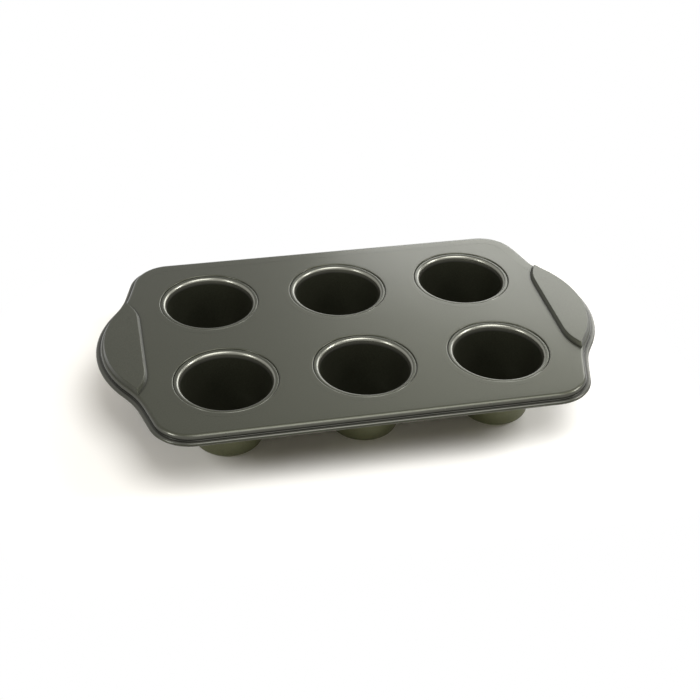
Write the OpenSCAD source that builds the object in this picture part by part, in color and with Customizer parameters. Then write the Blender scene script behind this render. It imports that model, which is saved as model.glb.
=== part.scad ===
// Popover pan: six deep-drawn cups seamed into one stamped deck with a wired edge.
// The origin is on the floor under the pan's middle. X runs along its length, Y towards its back edge.
// Sections are drawn with x outward from the wall and y up from the top of the deck.

/* [Cups] */
// Distance between the centres of neighbouring cups
cup_pitch = 100; // [92:1:112]
// Height from the floor to the top of the deck
deck_height = 52; // [42:1:80]
// Thickness of a cup's drawn sheet
cup_sheet = 0.6; // [0.4:0.1:0.8]
// Depth of a cup's lip below the top of the deck
lip_step = 0.5; // [0.3:0.1:0.8]
// Width of the flat ring on top of the lip
lip_flat = 0.7; // [0.4:0.1:1.5]
// Rounding where the lip turns down into the cup
lip_round = 2.6; // [1.8:0.1:3.5]
// Radius at which a cup's side would meet the floor without its rounding
foot_r = 24.7; // [21:0.1:27]
// Rounding between a cup's foot and its side
foot_round = 5; // [2:0.5:8]

/* [Seams] */
// Radius of the deck's holes, which the cups' mouths fill
hole_r = 37.3; // [35:0.1:40]
// Radius of the deck's bend into a hole, and of the lip's bend into its skirt
seam_bend_r = 0.9; // [0.9:0.1:1.4]
// Height of the collar that hangs from the deck round a cup
collar_h = 5; // [4:0.5:8]
// Width of the edge turned in under a cup's skirt
lock_w = 0.8; // [0.7:0.1:1.2]
// Play between a cup's skirt and the collar round it
seam_play = 0.1; // [0.05:0.05:0.2]

/* [Deck] */
// Thickness of the deck's sheet
deck_sheet = 0.6; // [0.5:0.1:0.8]
// Distance from the outer cups' centres to the long edges
side_margin = 58.7; // [54:0.1:66]
// Distance from the outer cups' centres to the ends
end_margin = 55.5; // [53:0.1:60]
// Radius of the corners
corner_r = 28; // [22:1:34]
// Angle by which the ends flare out towards the handles
flare_angle = 15.5; // [13:0.5:18]
// Reach of a handle beyond the outer cups' centres
handle_reach = 85; // [81:0.5:90]
// Radius of a handle's outer edge
handle_r = 85; // [78:1:92]
// Radius of the hollow between a corner and a handle
notch_r = 70; // [50:1:80]

/* [Rim] */
// Radius of the shoulder where the deck turns down
shoulder_r = 3; // [1.5:0.1:3.2]
// Depth of the flange below the top of the deck
flange_depth = 3.95; // [3.8:0.05:8]
// Radius of the bend between the wall and the flange
flange_bend_r = 0.5; // [0.3:0.1:0.6]
// Distance from the wall to the middle of the wire
wire_reach = 2; // [1.9:0.1:4]
// Diameter of the wire
wire_d = 1.5; // [1.2:0.1:2.4]
// Play between the wire and the sheet curled round it
wire_play = 0.05; // [0.02:0.01:0.1]
// Angle that the sheet curls round the wire
curl_angle = 285; // [240:5:290]

/* [Handle panels] */
// Height of the raised panels on the handles
panel_h = 3; // [1.5:0.1:3.5]
// Distance from the outer cups' centres to the foot of a panel's inner side
panel_start = 54; // [51:0.5:57]
// Half the length of the straight part of that side
panel_half = 33; // [26:1:38]
// Radius of a panel's inner corners
panel_r = 39; // [38:1:46]
// Steepness of a panel's inner side
panel_inner_slope = 60; // [45:1:75]
// Steepness of a panel's outer side
panel_outer_slope = 70; // [60:1:78]

/* [Hidden] */
$fn = 96;
arc_steps = 6;
sheet_overlap = 4;
rim_strip = 10;
joint_lap = 0.2;
joint_step = 0.01;
plate_step = 0.02;
$grow = 0;
cup_cells = [
    ["cup_front_left", -1, -1], ["cup_front_middle", 0, -1], ["cup_front_right", 1, -1],
    ["cup_back_left", -1, 1], ["cup_back_middle", 0, 1], ["cup_back_right", 1, 1]
];
outer_cup_x = cup_pitch;
outer_cup_y = cup_pitch / 2;

// The outline of the wall in one quarter: corner arc, straight flare, hollow arc, handle arc
half_width = outer_cup_y + side_margin;
corner_c = [outer_cup_x + end_margin - corner_r, half_width - corner_r];
handle_c = [outer_cup_x + handle_reach - handle_r, 0];
flare_out = [cos(flare_angle), sin(flare_angle)];
flare_run = [sin(flare_angle), -cos(flare_angle)];
notch_start = corner_c + (corner_r + notch_r) * flare_out - handle_c;
notch_along = notch_start * flare_run;
notch_reach2 = notch_start * notch_start - pow(handle_r + notch_r, 2);
flare_len = -notch_along - sqrt(pow(notch_along, 2) - notch_reach2);
notch_c = corner_c + (corner_r + notch_r) * flare_out + flare_len * flare_run;
handle_half = atan2(notch_c.y, notch_c.x - handle_c.x);
handle_lap = joint_lap / handle_r * 180 / PI;

// The wired edge
bead_r = wire_d / 2 + wire_play + deck_sheet;
wire_c = [wire_reach, -flange_depth - bead_r];

// The cup's section: lip bend, lip rounding and the tangent side down to the foot
skirt_r = hole_r - seam_play;
lip_bend_c = [skirt_r - seam_bend_r, -lip_step - seam_bend_r];
lip_c = [lip_bend_c.x - lip_flat, -lip_step - lip_round];
foot_to_lip = lip_c - [foot_r, -deck_height];
side_angle = atan2(foot_to_lip.x, foot_to_lip.y) - asin((lip_round - cup_sheet) / norm(foot_to_lip));
foot_c = [foot_r - foot_round * (1 - sin(side_angle)) / cos(side_angle), foot_round - deck_height];

// Points on an arc from one angle to another
function arc(c, r, from, to, steps = arc_steps) =
    [for (i = [0:steps]) c + r * [cos(from + (to - from) * i / steps), sin(from + (to - from) * i / steps)]];

// A section pulled straight for a length, with its outward side facing the given way
module pull(start, facing, length)
    translate(start) rotate([0, 0, facing]) rotate([90, 0, 0])
        translate([0, 0, -joint_lap]) linear_extrude(length + 2 * joint_lap) children();

// A section turned about a centre inside the pan
module turn(centre, r, from, to, grow = joint_step) {
    $grow = grow;
    translate(centre) rotate([0, 0, from]) rotate_extrude(angle = to - from) translate([r, 0]) children();
}

// A section turned about a centre outside the pan
module turn_hollow(centre, r, from, to) {
    $grow = joint_step;
    translate(centre) rotate([0, 0, from]) rotate_extrude(angle = to - from)
        translate([r, 0]) mirror([1, 0]) children();
}

// The handle's arc with the hollows on both sides of it
module round_handle() {
    turn(handle_c, handle_r, -handle_half - handle_lap, handle_half + handle_lap, grow = 0) children();
    for (side = [0, 1]) mirror([0, side])
        turn_hollow(notch_c, notch_r, 180 + flare_angle, 180 + handle_half) children();
}

// A section taken all the way round the pan
module round_pan() {
    for (back = [0, 1]) mirror([0, back])
        pull([corner_c.x, -half_width], -90, 2 * corner_c.x) children();
    for (left = [0, 1]) mirror([left, 0]) {
        round_handle() children();
        for (back = [0, 1]) mirror([0, back]) {
            turn(corner_c, corner_r, flare_angle, 90) children();
            pull(corner_c + corner_r * flare_out, flare_angle, flare_len) children();
        }
    }
}

// The foot of a handle panel's inner side: straight in the middle, rounded at both ends
module round_panel_side() {
    pull([outer_cup_x + panel_start, -panel_half], 180, 2 * panel_half) children();
    for (side = [0, 1]) mirror([0, side])
        turn([outer_cup_x + panel_start + panel_r, panel_half], panel_r, 90, 180) children();
}

// The outline drawn in by a distance, as points
function quarter_outline(inset) = concat(
    arc(corner_c, corner_r - inset, 90, flare_angle),
    arc(notch_c, notch_r + inset, 180 + flare_angle, 180 + handle_half),
    arc(handle_c, handle_r - inset, handle_half, 0)
);

module quarter_plate()
    translate([0, 0, plate_step - deck_sheet]) linear_extrude(deck_sheet - 2 * plate_step)
        polygon(concat([[0, 0]], [[0, half_width - rim_strip / 2]], quarter_outline(rim_strip / 2)));

// Shoulder, wall, flange and curl, as one bent sheet
module rim_section()
    polygon(concat(
        [[-rim_strip - $grow, $grow]],
        arc([-shoulder_r, -shoulder_r], shoulder_r + $grow, 90, 0),
        arc([flange_bend_r, flange_bend_r - flange_depth], flange_bend_r - $grow, 180, 270),
        arc(wire_c, bead_r + $grow, 90, 90 - curl_angle, 3 * arc_steps),
        arc(wire_c, bead_r - deck_sheet - $grow, 90 - curl_angle, 90, 3 * arc_steps),
        arc([flange_bend_r, flange_bend_r - flange_depth], flange_bend_r + deck_sheet + $grow, 270, 180),
        arc([-shoulder_r, -shoulder_r], shoulder_r - deck_sheet - $grow, 0, 90),
        [[-rim_strip - $grow, -deck_sheet - $grow]]
    ));

// Bend from the deck into a hole, the collar and the edge turned in under the cup's skirt
module collar_section()
    polygon(concat(
        [[hole_r + seam_bend_r + sheet_overlap, 0]],
        arc([hole_r + seam_bend_r, -seam_bend_r], seam_bend_r, 90, 180),
        [[hole_r, -collar_h], [hole_r - lock_w, -collar_h]],
        [[hole_r - lock_w, -collar_h - deck_sheet], [hole_r + deck_sheet, -collar_h - deck_sheet]],
        arc([hole_r + seam_bend_r, -seam_bend_r], seam_bend_r - deck_sheet, 180, 90),
        [[hole_r + seam_bend_r + sheet_overlap, -deck_sheet]]
    ));

// A cup from its axis to the skirt that hangs inside the collar
module cup_section()
    polygon(concat(
        [[0, -deck_height]],
        arc(foot_c, foot_round, -90, -side_angle),
        arc(lip_c, lip_round - cup_sheet, 180 - side_angle, 90),
        arc(lip_bend_c, seam_bend_r - cup_sheet, 90, 0),
        [[skirt_r - cup_sheet, seam_play - collar_h], [skirt_r, seam_play - collar_h]],
        arc(lip_bend_c, seam_bend_r, 0, 90),
        arc(lip_c, lip_round, 90, 180 - side_angle),
        arc(foot_c, foot_round - cup_sheet, -side_angle, -90),
        [[0, cup_sheet - deck_height]]
    ));

// The raised panel's outer face starts inside the sheet, where the shoulder begins to fall
panel_foot_z = -deck_sheet / 2;
panel_foot_out = sqrt(pow(shoulder_r, 2) - pow(shoulder_r + panel_foot_z, 2)) - shoulder_r - 0.25;
panel_reach_in = 40;
panel_cavity_z = -2;

// Outer side of a panel from a depth to a height, drawn in by the sheet where it is the cavity
module panel_outer_section(low, high, inset) {
    panel_side = panel_foot_out - inset / sin(panel_outer_slope) + $grow;
    polygon([
        [-panel_reach_in - $grow, low],
        [panel_side - (low - panel_foot_z) / tan(panel_outer_slope), low],
        [panel_side - (high - panel_foot_z) / tan(panel_outer_slope), high],
        [-panel_reach_in - $grow, high]
    ]);
}

// Inner side of a panel, from the foot line on the deck
module panel_inner_section(low, high, inset)
    polygon([
        [2 - panel_r - $grow, low - $grow],
        [$grow - inset / sin(panel_inner_slope) - low / tan(panel_inner_slope), low - $grow],
        [$grow - inset / sin(panel_inner_slope) - high / tan(panel_inner_slope), high + $grow],
        [2 - panel_r - $grow, high + $grow]
    ]);

// A handle panel as a solid: its outer skin, or the cavity under its sheet
module panel(low, high, inset)
    intersection() {
        round_handle() panel_outer_section(low - 1 - $grow, high + 1 + $grow, inset);
        round_panel_side() panel_inner_section(low, high, inset);
    }

module at_cups()
    for (cell = cup_cells) translate([cell[1] * outer_cup_x, cell[2] * outer_cup_y]) children();

module deck()
    color("#4c4b43") translate([0, 0, deck_height]) {
        difference() {
            union() {
                round_pan() rim_section();
                for (left = [0, 1]) mirror([left, 0]) {
                    for (back = [0, 1]) mirror([0, back]) quarter_plate();
                    panel(panel_foot_z, panel_h, 0);
                }
            }
            for (left = [0, 1]) mirror([left, 0]) panel(panel_cavity_z, panel_h - deck_sheet, deck_sheet);
            at_cups() translate([0, 0, -2 * deck_sheet]) cylinder(h = 3 * deck_sheet, r = hole_r + seam_bend_r);
        }
        at_cups() rotate_extrude() collar_section();
    }

module rim_wire()
    color("#9a9a98") translate([0, 0, deck_height]) round_pan() translate(wire_c) circle(d = wire_d + 2 * $grow);

module cup(column, row)
    color("#3f4033") translate([column * outer_cup_x, row * outer_cup_y, deck_height])
        rotate_extrude() cup_section();

deck();
rim_wire();
for (cell = cup_cells) cup(cell[1], cell[2]);
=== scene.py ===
"""Popover pan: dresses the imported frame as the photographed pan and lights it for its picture.

Values that end in _mm are millimetres. All others are metres, in the frame's own axes:
X along the pan, Y towards its back edge, Z up from the floor.
"""

import logging
import math
from dataclasses import dataclass, field, replace
from enum import Enum

import bpy
from mathutils import Matrix, Vector


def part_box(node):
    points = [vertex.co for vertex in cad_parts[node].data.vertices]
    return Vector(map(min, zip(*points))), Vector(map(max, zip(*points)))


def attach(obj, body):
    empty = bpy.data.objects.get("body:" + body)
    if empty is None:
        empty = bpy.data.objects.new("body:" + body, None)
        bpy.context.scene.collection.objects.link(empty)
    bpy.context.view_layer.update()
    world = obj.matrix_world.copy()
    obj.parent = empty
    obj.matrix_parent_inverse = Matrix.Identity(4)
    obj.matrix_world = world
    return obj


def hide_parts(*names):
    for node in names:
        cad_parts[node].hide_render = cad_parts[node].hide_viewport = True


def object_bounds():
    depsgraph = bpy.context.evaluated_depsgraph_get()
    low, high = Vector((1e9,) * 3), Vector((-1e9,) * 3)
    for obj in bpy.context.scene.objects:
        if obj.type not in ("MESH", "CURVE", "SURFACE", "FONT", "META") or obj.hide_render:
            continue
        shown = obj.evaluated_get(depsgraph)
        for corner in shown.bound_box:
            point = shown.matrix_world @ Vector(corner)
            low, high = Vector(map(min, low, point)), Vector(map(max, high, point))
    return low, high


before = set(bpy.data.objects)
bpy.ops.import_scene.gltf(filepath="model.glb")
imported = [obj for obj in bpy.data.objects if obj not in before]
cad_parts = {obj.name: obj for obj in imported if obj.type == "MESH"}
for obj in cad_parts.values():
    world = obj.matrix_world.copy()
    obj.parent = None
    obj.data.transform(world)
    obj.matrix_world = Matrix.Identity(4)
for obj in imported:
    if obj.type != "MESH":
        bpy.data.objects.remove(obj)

LOG = logging.getLogger("popover_pan")
MM = 0.001
# Only the handle panels stand higher than this.
PANEL_FROM_MM = 52.05
# Painted sheen goes on the lips' and rim's bends, between these heights, easing in and out beyond.
BEND_LOW_MM, BEND_LOW_EASE_MM = 48.5, 46.0
BEND_HIGH_MM, BEND_HIGH_EASE_MM = 51.1, 51.45
# Noise seldom strays beyond these.
NOISE_LOW, NOISE_HIGH = 0.3, 0.7


def plain_bounds() -> list:
    """Gives the pieces' bounds as plain lists.

    Returns:
        The lowest and the highest corner, three numbers each.
    """
    return [[float(value) for value in corner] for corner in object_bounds()]


BOUNDS_AFTER_LOAD = plain_bounds()


def linear(colour: str) -> tuple:
    """Turns an sRGB hex colour into the linear one that shaders take.

    Args:
        colour: The colour as "#rrggbb".

    Returns:
        Red, green, blue and an alpha of 1.
    """
    parts = [int(colour[at : at + 2], 16) / 255 for at in (1, 3, 5)]
    straight = [p / 12.92 if p <= 0.04045 else ((p + 0.055) / 1.055) ** 2.4 for p in parts]
    return (*straight, 1.0)


# ---- Finishes ----


@dataclass(frozen=True)
class Finish:
    """How one real material looks.

    Args:
        name: The real material's common name.
        dark: The grain's dark end, as an sRGB hex colour.
        light: The grain's light end, as an sRGB hex colour.
        metallic: How much of it mirrors as bare metal.
        roughness: Its middle roughness.
        roughness_spread: How far the roughness strays from that in broad patches.
        grain_mm: Size of the grain.
        grain_height_mm: Height of the grain.
        patch_mm: Size of the broad patches.
        coat: How much of a clear glossy skin lies on top.
        coat_roughness: That skin's roughness.
        specular: Strength of its reflection where it isn't metal, 0.5 being usual.
        painted_sheen: A lighter colour painted on the bends of the lips and the rim as sheen, as an sRGB
            hex colour, or nothing.
        smoother: How much less rough the skin is there.
        groove_mm: How far from a wall a groove gets painted shade, darkening its colour and clear skin.
        groove_power: How strongly that painted shade darkens it.
        edge_mm: Radius to which the handle panels' pressed edges are rounded.
    """

    name: str
    dark: str
    light: str
    metallic: float
    roughness: float
    roughness_spread: float
    grain_mm: float
    grain_height_mm: float
    patch_mm: float = 45.0
    coat: float = 0.0
    coat_roughness: float = 0.1
    specular: float = 0.5
    painted_sheen: str = ""
    smoother: float = 0.1
    groove_mm: float = 1.8
    groove_power: float = 2.0
    edge_mm: float = 0.8


class Real(Enum):
    """The real materials of the pan and its floor."""

    # Sprayed and baked fluoropolymer coating with metal flakes: dark warm grey, satin, with a
    #     fine orange-peel grain that scatters the softboxes' reflections. Over the rim's bends it is
    #     smoother and gets painted sheen: a lighter, more mirror-like colour.
    COATING = Finish(
        name="non-stick_coated_steel",
        dark="#34352a",
        light="#3e3f33",
        metallic=0.8,
        roughness=0.38,
        roughness_spread=0.02,
        grain_mm=0.8,
        grain_height_mm=0.004,
        coat=0.3,
        coat_roughness=0.15,
        painted_sheen="#4a4a42",
        groove_mm=2.2,
        groove_power=3.0,
        specular=0.3,
    )
    # The same coating on the deep-drawn cups, with a stronger painted sheen on their lips: a lighter, more
    # mirror-like colour.
    DRAWN_COATING = replace(COATING, name="non-stick_coated_drawn_steel", painted_sheen="#7a7a70")
    # Roller-applied silicone polyester on the sheet's other side: olive, matt and thinner, so the
    # table's bounced light shows its colour.
    BACK_COAT = Finish(
        name="silicone_polyester_back_coat",
        dark="#50523a",
        light="#606347",
        metallic=0.2,
        roughness=0.45,
        roughness_spread=0.03,
        grain_mm=0.8,
        grain_height_mm=0.004,
    )
    # Drawn steel wire: bright, with fine lines from the die.
    WIRE = Finish(
        name="drawn_steel_wire",
        dark="#7d7d7b",
        light="#a9a9a6",
        metallic=1.0,
        roughness=0.32,
        roughness_spread=0.05,
        grain_mm=0.4,
        grain_height_mm=0.004,
    )


def add_node(tree: bpy.types.NodeTree, kind: str, inputs: dict | None = None, **settings) -> bpy.types.Node:
    """Adds a node to a tree.

    Args:
        tree: The tree that gets the node.
        kind: The node's type.
        inputs: Values and sockets for its inputs, by name.
        settings: Values for its own properties.

    Returns:
        The new node.
    """
    node = tree.nodes.new(kind)
    for name, value in settings.items():
        setattr(node, name, value)
    for name, value in (inputs or {}).items():
        if isinstance(value, bpy.types.NodeSocket):
            tree.links.new(value, node.inputs[name])
        else:
            node.inputs[name].default_value = value
    return node


def mixed(tree: bpy.types.NodeTree, share: bpy.types.NodeSocket, *shaders) -> bpy.types.NodeSocket:
    """Mixes two shaders.

    Args:
        tree: The tree that they are in.
        share: The second shader's share.
        shaders: The two shaders' outputs.

    Returns:
        The mixed shader's output.
    """
    mix = add_node(tree, "ShaderNodeMixShader", {"Fac": share, 1: shaders[0], 2: shaders[1]})
    return mix.outputs["Shader"]


def empty_material(name: str) -> tuple:
    """Makes a material with nothing in it but its output.

    Args:
        name: The material's name.

    Returns:
        The material, its tree and its output node.
    """
    material = bpy.data.materials.new(name)
    material.use_nodes = True
    material.node_tree.nodes.clear()
    return material, material.node_tree, add_node(material.node_tree, "ShaderNodeOutputMaterial")


def background_rays(tree: bpy.types.NodeTree) -> bpy.types.NodeSocket:
    """Tells which rays show the background: seen straight, mirrored or through glass.

    Args:
        tree: The tree that asks.

    Returns:
        1 for such a ray, and 0 for one that carries light to a matt surface.
    """
    path = add_node(tree, "ShaderNodeLightPath").outputs
    seen = path["Is Camera Ray"]
    for other in ("Is Glossy Ray", "Is Transmission Ray"):
        either = add_node(tree, "ShaderNodeMath", {0: seen, 1: path[other]}, operation="MAXIMUM")
        seen = either.outputs["Value"]
    return seen


def bend_share(tree: bpy.types.NodeTree, place: bpy.types.NodeSocket) -> bpy.types.NodeSocket:
    """Tells how far a point is on the bends of the lips or the rim, by its height, for the painted sheen.

    Args:
        tree: The material's tree.
        place: The point's coordinates.

    Returns:
        A share from 0 to 1.
    """
    height = add_node(tree, "ShaderNodeSeparateXYZ", {"Vector": place}).outputs["Z"]
    eases = [
        add_node(
            tree,
            "ShaderNodeMapRange",
            {"Value": height, "From Min": none_at * MM, "From Max": full_at * MM},
        ).outputs["Result"]
        for none_at, full_at in (
            (BEND_LOW_EASE_MM, BEND_LOW_MM),
            (BEND_HIGH_EASE_MM, BEND_HIGH_MM),
        )
    ]
    share = add_node(tree, "ShaderNodeMath", {0: eases[0], 1: eases[1]}, operation="MULTIPLY")
    return share.outputs["Value"]


def rounded_normal(
    tree: bpy.types.NodeTree, place: bpy.types.NodeSocket, radius: float
) -> bpy.types.NodeSocket:
    """Rounds the normals at the handle panels' pressed edges and leaves all others as they are.

    Args:
        tree: The material's tree.
        place: The point's coordinates.
        radius: The edges' radius.

    Returns:
        The normal.
    """
    height = add_node(tree, "ShaderNodeSeparateXYZ", {"Vector": place}).outputs["Z"]
    panel_from = PANEL_FROM_MM * MM
    on_panel = add_node(tree, "ShaderNodeMath", {0: height, 1: panel_from}, operation="GREATER_THAN")
    plain = add_node(tree, "ShaderNodeNewGeometry").outputs["Normal"]
    rounded = add_node(tree, "ShaderNodeBevel", {"Radius": radius}, samples=6).outputs["Normal"]
    lean = add_node(tree, "ShaderNodeVectorMath", {0: rounded, 1: plain}, operation="SUBTRACT")
    normal = add_node(
        tree,
        "ShaderNodeVectorMath",
        {0: lean.outputs["Vector"], 1: on_panel.outputs["Value"], 2: plain},
        operation="MULTIPLY_ADD",
    )
    return normal.outputs["Vector"]


def painted(finish: Finish) -> bpy.types.Material:
    """Makes a finish's material, with its grain, broad patches, painted sheen on its bends and painted
    shade in its grooves.

    Args:
        finish: The finish to make.

    Returns:
        The material.
    """
    material, tree, output = empty_material(finish.name)
    place = add_node(tree, "ShaderNodeTexCoord").outputs["Object"]
    grain = add_node(
        tree,
        "ShaderNodeTexNoise",
        {"Vector": place, "Scale": 1 / (finish.grain_mm * MM), "Detail": 2.0},
    ).outputs["Fac"]
    patches = add_node(
        tree, "ShaderNodeTexNoise", {"Vector": place, "Scale": 1 / (finish.patch_mm * MM), "Detail": 3.0}
    ).outputs["Fac"]
    colour = add_node(tree, "ShaderNodeValToRGB", {"Fac": grain})
    ends = colour.color_ramp.elements
    ends[0].position, ends[0].color = NOISE_LOW, linear(finish.dark)
    ends[1].position, ends[1].color = NOISE_HIGH, linear(finish.light)
    roughness = add_node(
        tree,
        "ShaderNodeMapRange",
        {
            "Value": patches,
            "From Min": NOISE_LOW,
            "From Max": NOISE_HIGH,
            "To Min": finish.roughness - finish.roughness_spread,
            "To Max": finish.roughness + finish.roughness_spread,
        },
    )
    tint, rough = colour.outputs["Color"], roughness.outputs["Result"]
    # Painted sheen: the bends get a lighter, more mirror-like colour and less roughness, by height.
    if finish.painted_sheen:
        bend = bend_share(tree, place)
        sheen_colour = linear(finish.painted_sheen)[:3]
        sheen_paint = add_node(tree, "ShaderNodeVectorMath", {0: sheen_colour, "Scale": bend}, operation="SCALE")
        tint = add_node(
            tree,
            "ShaderNodeVectorMath",
            {0: tint, 1: sheen_paint.outputs["Vector"]},
            operation="MAXIMUM",
        ).outputs["Vector"]
        rough = add_node(
            tree, "ShaderNodeMath", {0: bend, 1: -finish.smoother, 2: rough}, operation="MULTIPLY_ADD"
        ).outputs["Value"]
    normal = rounded_normal(tree, place, finish.edge_mm * MM)
    bump = add_node(
        tree,
        "ShaderNodeBump",
        {"Height": grain, "Strength": 1.0, "Distance": finish.grain_height_mm * MM, "Normal": normal},
    )
    # Painted shade: ambient occlusion darkens the colour and the clear skin in grooves and corners.
    open_share = add_node(
        tree,
        "ShaderNodeAmbientOcclusion",
        {"Distance": finish.groove_mm * MM},
        samples=6,
        only_local=True,
    ).outputs["AO"]
    lit = add_node(tree, "ShaderNodeMath", {0: open_share, 1: finish.groove_power}, operation="POWER")
    shade = lit.outputs["Value"]
    shaded = add_node(
        tree, "ShaderNodeVectorMath", {0: tint, "Scale": shade}, operation="SCALE"
    )
    skin = 0.0
    if finish.coat:
        shaded_coat = add_node(tree, "ShaderNodeMath", {0: shade, 1: finish.coat}, operation="MULTIPLY")
        skin = shaded_coat.outputs["Value"]
    surface = add_node(
        tree,
        "ShaderNodeBsdfPrincipled",
        {
            "Base Color": shaded.outputs["Vector"],
            "Metallic": finish.metallic,
            "Roughness": rough,
            "Specular IOR Level": finish.specular,
            "Coat Weight": skin,
            "Coat Roughness": finish.coat_roughness,
            "Coat Normal": normal,
            "Normal": bump.outputs["Normal"],
        },
    )
    tree.links.new(surface.outputs["BSDF"], output.inputs["Surface"])
    LOG.info("made material %s", finish.name)
    return material


# ---- Work on meshes ----


def select_only(piece: bpy.types.Object) -> None:
    """Selects one object, makes it active and leaves all others unselected.

    Args:
        piece: The object.
    """
    bpy.ops.object.select_all(action="DESELECT")
    piece.select_set(True)
    bpy.context.view_layer.objects.active = piece


def smooth(piece: bpy.types.Object, angle: float) -> None:
    """Shades a piece smooth, keeps its sharp edges, and lets its large faces lead its normals.

    Args:
        piece: The piece.
        angle: Edges that bend more than this stay sharp, in degrees.
    """
    select_only(piece)
    bpy.ops.object.shade_smooth_by_angle(angle=math.radians(angle))
    weighted = piece.modifiers.new("large faces lead", "WEIGHTED_NORMAL")
    weighted.keep_sharp = True
    bpy.ops.object.modifier_apply(modifier=weighted.name)


def finish_piece(piece: bpy.types.Object, material: bpy.types.Material, node: str) -> None:
    """Gives a piece its material and its place in the frame.

    Args:
        piece: The piece.
        material: Its material.
        node: The CAD node that it stands for.
    """
    piece.data.materials.clear()
    piece.data.materials.append(material)
    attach(piece, "root")
    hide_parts(node)
    LOG.info("finished %s for node %s", piece.name, node)


@dataclass
class SheetPiece:
    """A piece that is the CAD node's own form, merged and smoothed.

    Args:
        node: The CAD node.
        name: The piece's name.
        slot: The record's material slot; not used here.
        sharp_angle: Edges that bend more than this stay sharp, in degrees.
        merge_mm: Corners closer than this are one corner.
    """

    node: str
    name: str
    slot: str
    sharp_angle: float = 35.0
    merge_mm: float = 0.002
    piece: bpy.types.Object = field(init=False, default=None)

    def build(self) -> None:
        """Copies the node's mesh, merges it and smooths it."""
        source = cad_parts[self.node]
        self.piece = bpy.data.objects.new(self.name, source.data.copy())
        bpy.context.scene.collection.objects.link(self.piece)
        select_only(self.piece)
        if self.piece.data.has_custom_normals:
            bpy.ops.mesh.customdata_custom_splitnormals_clear()
        bpy.ops.object.mode_set(mode="EDIT")
        bpy.ops.mesh.select_all(action="SELECT")
        bpy.ops.mesh.remove_doubles(threshold=self.merge_mm * MM)
        bpy.ops.mesh.normals_make_consistent(inside=False)
        bpy.ops.object.mode_set(mode="OBJECT")
        smooth(self.piece, self.sharp_angle)
        LOG.info("built %s with %d faces", self.name, len(self.piece.data.polygons))

    def dress(self, material: bpy.types.Material) -> None:
        """Gives the piece its material.

        Args:
            material: The material.
        """
        finish_piece(self.piece, material, self.node)


@dataclass(frozen=True)
class CupSection:
    """Half of a cup's section, in millimetres, with x from the cup's axis and z from the deck's top.

    The sizes are the part's own: what each one measures is said there.
    """

    depth: float = 52.0
    sheet: float = 0.6
    lip_step: float = 0.5
    lip_flat: float = 0.7
    lip_round: float = 2.6
    foot_r: float = 24.7
    foot_round: float = 5.0
    skirt_r: float = 37.2
    skirt_depth: float = 4.9
    bend_r: float = 0.9
    axis_gap: float = 1.0
    steps: int = 12

    def arc(self, centre: Vector, radius: float, start: float, end: float) -> list:
        """Gives the points of an arc.

        Args:
            centre: The arc's centre.
            radius: Its radius.
            start: Where it starts, in degrees from +x.
            end: Where it ends, in degrees from +x.

        Returns:
            Its points in order.
        """
        angles = [math.radians(start + (end - start) * at / self.steps) for at in range(self.steps + 1)]
        return [centre + radius * Vector((math.cos(a), math.sin(a))) for a in angles]

    def rings(self) -> list:
        """Gives the section's points from the middle of the foot's underside round to its top.

        Returns:
            The points, as vectors of radius and height.
        """
        bend_c = Vector((self.skirt_r - self.bend_r, -self.lip_step - self.bend_r))
        lip_c = Vector((bend_c.x - self.lip_flat, -self.lip_step - self.lip_round))
        foot_to_lip = lip_c - Vector((self.foot_r, -self.depth))
        tilt = math.atan2(foot_to_lip.x, foot_to_lip.y)
        tilt -= math.asin((self.lip_round - self.sheet) / foot_to_lip.length)
        foot_in = self.foot_round * (1 - math.sin(tilt)) / math.cos(tilt)
        foot_c = Vector((self.foot_r - foot_in, self.foot_round - self.depth))
        side = math.degrees(tilt)
        return [
            Vector((self.axis_gap, -self.depth)),
            *self.arc(foot_c, self.foot_round, -90, -side),
            *self.arc(lip_c, self.lip_round - self.sheet, 180 - side, 90),
            *self.arc(bend_c, self.bend_r - self.sheet, 90, 0),
            Vector((self.skirt_r - self.sheet, -self.skirt_depth)),
            Vector((self.skirt_r, -self.skirt_depth)),
            *self.arc(bend_c, self.bend_r, 0, 90),
            *self.arc(lip_c, self.lip_round, 90, 180 - side),
            *self.arc(foot_c, self.foot_round - self.sheet, -side, -90),
            Vector((self.axis_gap, self.sheet - self.depth)),
        ]


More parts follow.
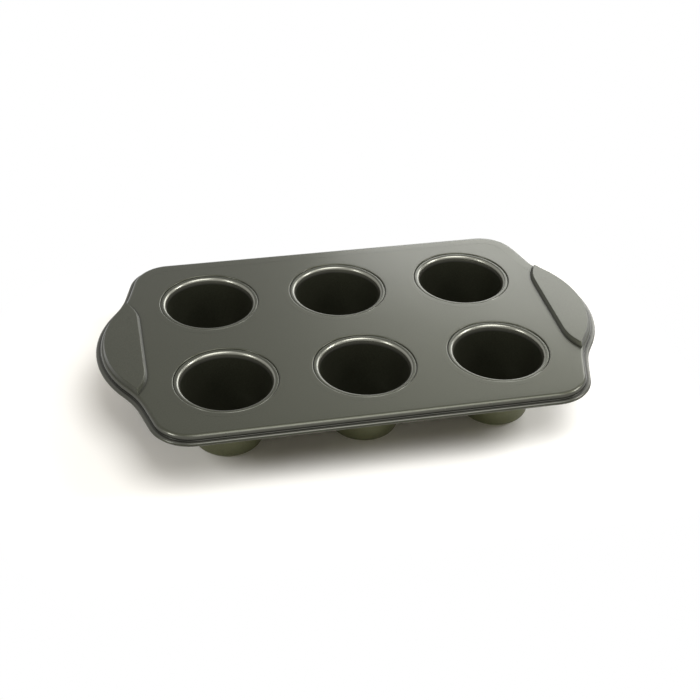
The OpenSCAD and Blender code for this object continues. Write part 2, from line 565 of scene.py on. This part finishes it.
@dataclass
class Cup:
    """One deep-drawn cup, extruded ring by ring from its section.

    Args:
        node: The CAD node that it stands for.
        section: The cup's section.
        segments: Corners round each ring.
        sharp_angle: Edges that bend more than this stay sharp, in degrees.
        slot: The record's material slot; not used here.
        level: A face whose normal strays less than this from level or upright counts as that.
    """

    node: str
    section: CupSection = CupSection()
    segments: int = 128
    sharp_angle: float = 40.0
    slot: str = "coating"
    level: float = 0.02
    piece: bpy.types.Object = field(init=False, default=None)

    def build(self) -> None:
        """Extrudes the cup about its node's axis, standing on the floor."""
        low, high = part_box(self.node)
        axis = Vector(((low.x + high.x) / 2, (low.y + high.y) / 2, low.z + self.section.depth * MM))
        rings = [Vector((p.x * MM, p.y * MM)) for p in self.section.rings()]
        bpy.ops.object.select_all(action="DESELECT")
        bpy.ops.mesh.primitive_circle_add(
            vertices=self.segments,
            radius=rings[0].x,
            fill_type="NOTHING",
            location=(axis.x, axis.y, axis.z + rings[0].y),
        )
        self.piece = bpy.context.object
        self.piece.name = self.node.replace("cup", "steel_cup")
        bpy.ops.object.mode_set(mode="EDIT")
        bpy.ops.mesh.select_mode(type="EDGE")
        bpy.ops.mesh.select_all(action="SELECT")
        for here, there in zip(rings, rings[1:]):
            bpy.ops.mesh.extrude_edges_move(
                TRANSFORM_OT_translate={"value": (0.0, 0.0, there.y - here.y)}
            )
            scale = there.x / here.x
            bpy.ops.transform.resize(value=(scale, scale, 1.0), center_override=tuple(axis))
        bpy.ops.mesh.edge_face_add()
        bpy.ops.mesh.select_all(action="DESELECT")
        bpy.ops.mesh.select_non_manifold()
        bpy.ops.mesh.edge_face_add()
        bpy.ops.mesh.select_all(action="SELECT")
        bpy.ops.mesh.normals_make_consistent(inside=False)
        bpy.ops.object.mode_set(mode="OBJECT")
        bpy.ops.object.transform_apply(location=True, rotation=True, scale=True)
        smooth(self.piece, self.sharp_angle)
        LOG.info("built %s with %d faces", self.piece.name, len(self.piece.data.polygons))

    def dress(self, material: bpy.types.Material, back: bpy.types.Material) -> None:
        """Gives the cup its two materials.

        Args:
            material: The material inside and on the lip.
            back: The material outside and underneath.
        """
        finish_piece(self.piece, material, self.node)
        mesh = self.piece.data
        mesh.materials.append(back)
        low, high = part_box(self.node)
        axis = Vector(((low.x + high.x) / 2, (low.y + high.y) / 2))
        for face in mesh.polygons:
            outward = (face.center.xy - axis).normalized().dot(face.normal.xy)
            if face.normal.z < -self.level and outward > -self.level:
                face.material_index = 1


@dataclass
class PopoverPan:
    """The whole pan: its deck, the wire in its rim and its cups."""

    deck: SheetPiece = field(default_factory=lambda: SheetPiece("deck", "steel_deck", "coating"))
    wire: SheetPiece = field(default_factory=lambda: SheetPiece("rim_wire", "steel_rim_wire", "wire"))
    cups: list = field(
        default_factory=lambda: [Cup(name) for name in sorted(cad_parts) if name.startswith("cup_")]
    )

    def build(self) -> None:
        """Builds every piece."""
        for part in (self.deck, self.wire, *self.cups):
            part.build()

    def dress(self) -> None:
        """Gives every piece its material."""
        cup_coating_strong_sheen = painted(Real.DRAWN_COATING.value)
        back_coat = painted(Real.BACK_COAT.value)
        self.deck.dress(painted(Real.COATING.value))
        for cup in self.cups:
            cup.dress(cup_coating_strong_sheen, back_coat)
        self.wire.dress(painted(Real.WIRE.value))


# ---- The picture ----


@dataclass(frozen=True)
class Softbox:
    """A rectangular lamp that looks at the pan.

    Args:
        name: Its name.
        place: Where it hangs.
        width: Its width.
        height: Its height.
        watts: Its power.
        colour: Its light, as an sRGB hex colour.
        aim: The point that it looks at.
    """

    name: str
    place: tuple
    width: float
    height: float
    watts: float
    colour: str = "#ffffff"
    aim: tuple = (0.0, 0.0, 0.03)

    def hang(self) -> None:
        """Adds the lamp to the scene."""
        data = bpy.data.lights.new(self.name, "AREA")
        data.shape = "RECTANGLE"
        data.size, data.size_y = self.width, self.height
        data.energy = self.watts
        data.color = linear(self.colour)[:3]
        lamp = bpy.data.objects.new(self.name, data)
        lamp.location = self.place
        look = Vector(self.aim) - Vector(self.place)
        lamp.rotation_euler = look.to_track_quat("-Z", "Y").to_euler()
        lamp.visible_camera = False
        bpy.context.scene.collection.objects.link(lamp)
        LOG.info("hung %s", self.name)


@dataclass(frozen=True)
class Camera:
    """The photograph's camera, as it was solved from the pan's outline.

    Args:
        place: Where it stands.
        yaw: Its turn to the left, in radians from +Y.
        pitch: Its tilt down, in radians.
        roll: Its turn about its own axis, in radians.
        lens_mm: Its focal length on a sensor 36 mm wide.
    """

    place: tuple = (-0.17483, -0.76742, 0.5967)
    yaw: float = -0.224
    pitch: float = 0.6246
    roll: float = 0.0292
    lens_mm: float = 65.74

    def set_up(self) -> None:
        """Adds the camera and makes it the scene's own."""
        forward = Vector(
            (
                -math.sin(self.yaw) * math.cos(self.pitch),
                math.cos(self.yaw) * math.cos(self.pitch),
                -math.sin(self.pitch),
            )
        )
        level = Vector((math.cos(self.yaw), math.sin(self.yaw), 0.0))
        upright = level.cross(forward)
        right = math.cos(self.roll) * level + math.sin(self.roll) * upright
        up = math.cos(self.roll) * upright - math.sin(self.roll) * level
        data = bpy.data.cameras.new("camera")
        data.lens = self.lens_mm
        data.sensor_width = 36.0
        data.clip_start = 0.01
        camera = bpy.data.objects.new("camera", data)
        turn = Matrix((right, up, -forward)).transposed()
        camera.matrix_world = Matrix.Translation(self.place) @ turn.to_4x4()
        bpy.context.scene.collection.objects.link(camera)
        bpy.context.scene.camera = camera
        LOG.info("set up the camera")


@dataclass(frozen=True)
class Studio:
    """The white table, the room's light and the softboxes.

    Args:
        table_size: The table's side.
        table_colour: The table's paint, as an sRGB hex colour.
        table_drop: How far it lies under the pan's feet, so that light can reach them.
        near_ray: Rays shorter than this pass the table, as they come from the feet.
        white_from: Distance from the pan at which the table fades into the background.
        white_at: Distance at which it is all background.
        room_level: How bright the room's own light is.
        room_colour: That light, as an sRGB hex colour.
        softboxes: The lamps.
    """

    table_size: float = 9.0
    table_colour: str = "#f4f3f0"
    table_drop: float = 0.0002
    near_ray: float = 0.001
    white_from: float = 0.01
    white_at: float = 0.08
    room_level: float = 0.35
    room_colour: str = "#fff5e4"
    softboxes: tuple = (
        Softbox("softbox_back_right", (1.35, 1.86, 1.0), 1.95, 1.0, 31.0),
        Softbox("softbox_front", (0.25, -0.6, 1.4), 1.0, 0.9, 18.0),
        Softbox("softbox_right", (1.2, -0.2, 0.9), 0.4, 0.4, 10.0),
        Softbox("softbox_left", (-1.1, -0.45, 0.9), 0.35, 0.35, 7.0),
    )

    def pass_share(self, tree: bpy.types.NodeTree) -> bpy.types.NodeSocket:
        """Tells which rays pass the table: those from below it and those from the pan's feet.

        Args:
            tree: The table's material tree.

        Returns:
            1 for such a ray, and 0 for any other.
        """
        below = add_node(tree, "ShaderNodeNewGeometry").outputs["Backfacing"]
        length = add_node(tree, "ShaderNodeLightPath").outputs["Ray Length"]
        near = add_node(tree, "ShaderNodeMath", {0: length, 1: self.near_ray}, operation="LESS_THAN")
        either = add_node(
            tree, "ShaderNodeMath", {0: below, 1: near.outputs["Value"]}, operation="MAXIMUM"
        )
        return either.outputs["Value"]

    def far_share(self, tree: bpy.types.NodeTree) -> bpy.types.NodeSocket:
        """Tells how far the table has faded into the background, by the distance from the pan's box.

        Args:
            tree: The table's material tree.

        Returns:
            A share from 0 to 1.
        """
        place = add_node(tree, "ShaderNodeTexCoord").outputs["Object"]
        corner = (*BOUNDS_AFTER_LOAD[1][:2], 0.0)
        reach = add_node(tree, "ShaderNodeVectorMath", {0: place}, operation="ABSOLUTE")
        past = add_node(
            tree, "ShaderNodeVectorMath", {0: reach.outputs["Vector"], 1: corner}, operation="SUBTRACT"
        )
        none = (0.0, 0.0, 0.0)
        gap = add_node(
            tree, "ShaderNodeVectorMath", {0: past.outputs["Vector"], 1: none}, operation="MAXIMUM"
        )
        distance = add_node(tree, "ShaderNodeVectorMath", {0: gap.outputs["Vector"]}, operation="LENGTH")
        far = add_node(
            tree,
            "ShaderNodeMapRange",
            {"Value": distance.outputs["Value"], "From Min": self.white_from, "From Max": self.white_at},
            interpolation_type="SMOOTHSTEP",
        )
        return far.outputs["Result"]

    def lay_table(self) -> None:
        """Adds the white table, which keeps the pan's shadow and can be seen through from below."""
        bpy.ops.object.select_all(action="DESELECT")
        bpy.ops.mesh.primitive_plane_add(size=self.table_size, location=(0.0, 0.0, -self.table_drop))
        bpy.ops.object.transform_apply(location=True, rotation=True, scale=True)
        table = bpy.context.object
        table.name = "white_table"
        material, tree, output = empty_material("matt_white_table")
        paint = add_node(tree, "ShaderNodeBsdfDiffuse", {"Color": linear(self.table_colour)})
        white = add_node(tree, "ShaderNodeEmission", {"Color": linear("#ffffff"), "Strength": 1.0})
        clear = add_node(tree, "ShaderNodeBsdfTransparent")
        share = add_node(
            tree,
            "ShaderNodeMath",
            {0: self.far_share(tree), 1: background_rays(tree)},
            operation="MULTIPLY",
        )
        top = mixed(tree, share.outputs["Value"], paint.outputs["BSDF"], white.outputs["Emission"])
        surface = mixed(tree, self.pass_share(tree), top, clear.outputs["BSDF"])
        tree.links.new(surface, output.inputs["Surface"])
        table.data.materials.append(material)

    def light_room(self) -> None:
        """Gives the room its warm light and a plain white background."""
        world = bpy.data.worlds.new("white_room")
        world.use_nodes = True
        tree = world.node_tree
        tree.nodes.clear()
        room = add_node(
            tree,
            "ShaderNodeBackground",
            {"Color": linear(self.room_colour), "Strength": self.room_level},
        )
        white = add_node(tree, "ShaderNodeBackground", {"Color": linear("#ffffff"), "Strength": 1.0})
        both = mixed(tree, background_rays(tree), room.outputs["Background"], white.outputs["Background"])
        tree.links.new(both, add_node(tree, "ShaderNodeOutputWorld").inputs["Surface"])
        bpy.context.scene.world = world

    def set_up(self) -> None:
        """Builds the studio and hangs its lamps."""
        self.lay_table()
        self.light_room()
        for softbox in self.softboxes:
            softbox.hang()
        bpy.context.scene.view_settings.view_transform = "Standard"
        LOG.info("set up the studio")


def main() -> None:
    """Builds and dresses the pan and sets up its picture."""
    logging.basicConfig(level=logging.INFO, format="%(name)s: %(message)s")
    pan = PopoverPan()
    pan.build()
    pan.dress()
    Studio().set_up()
    Camera().set_up()


if __name__ == "__main__":
    main()
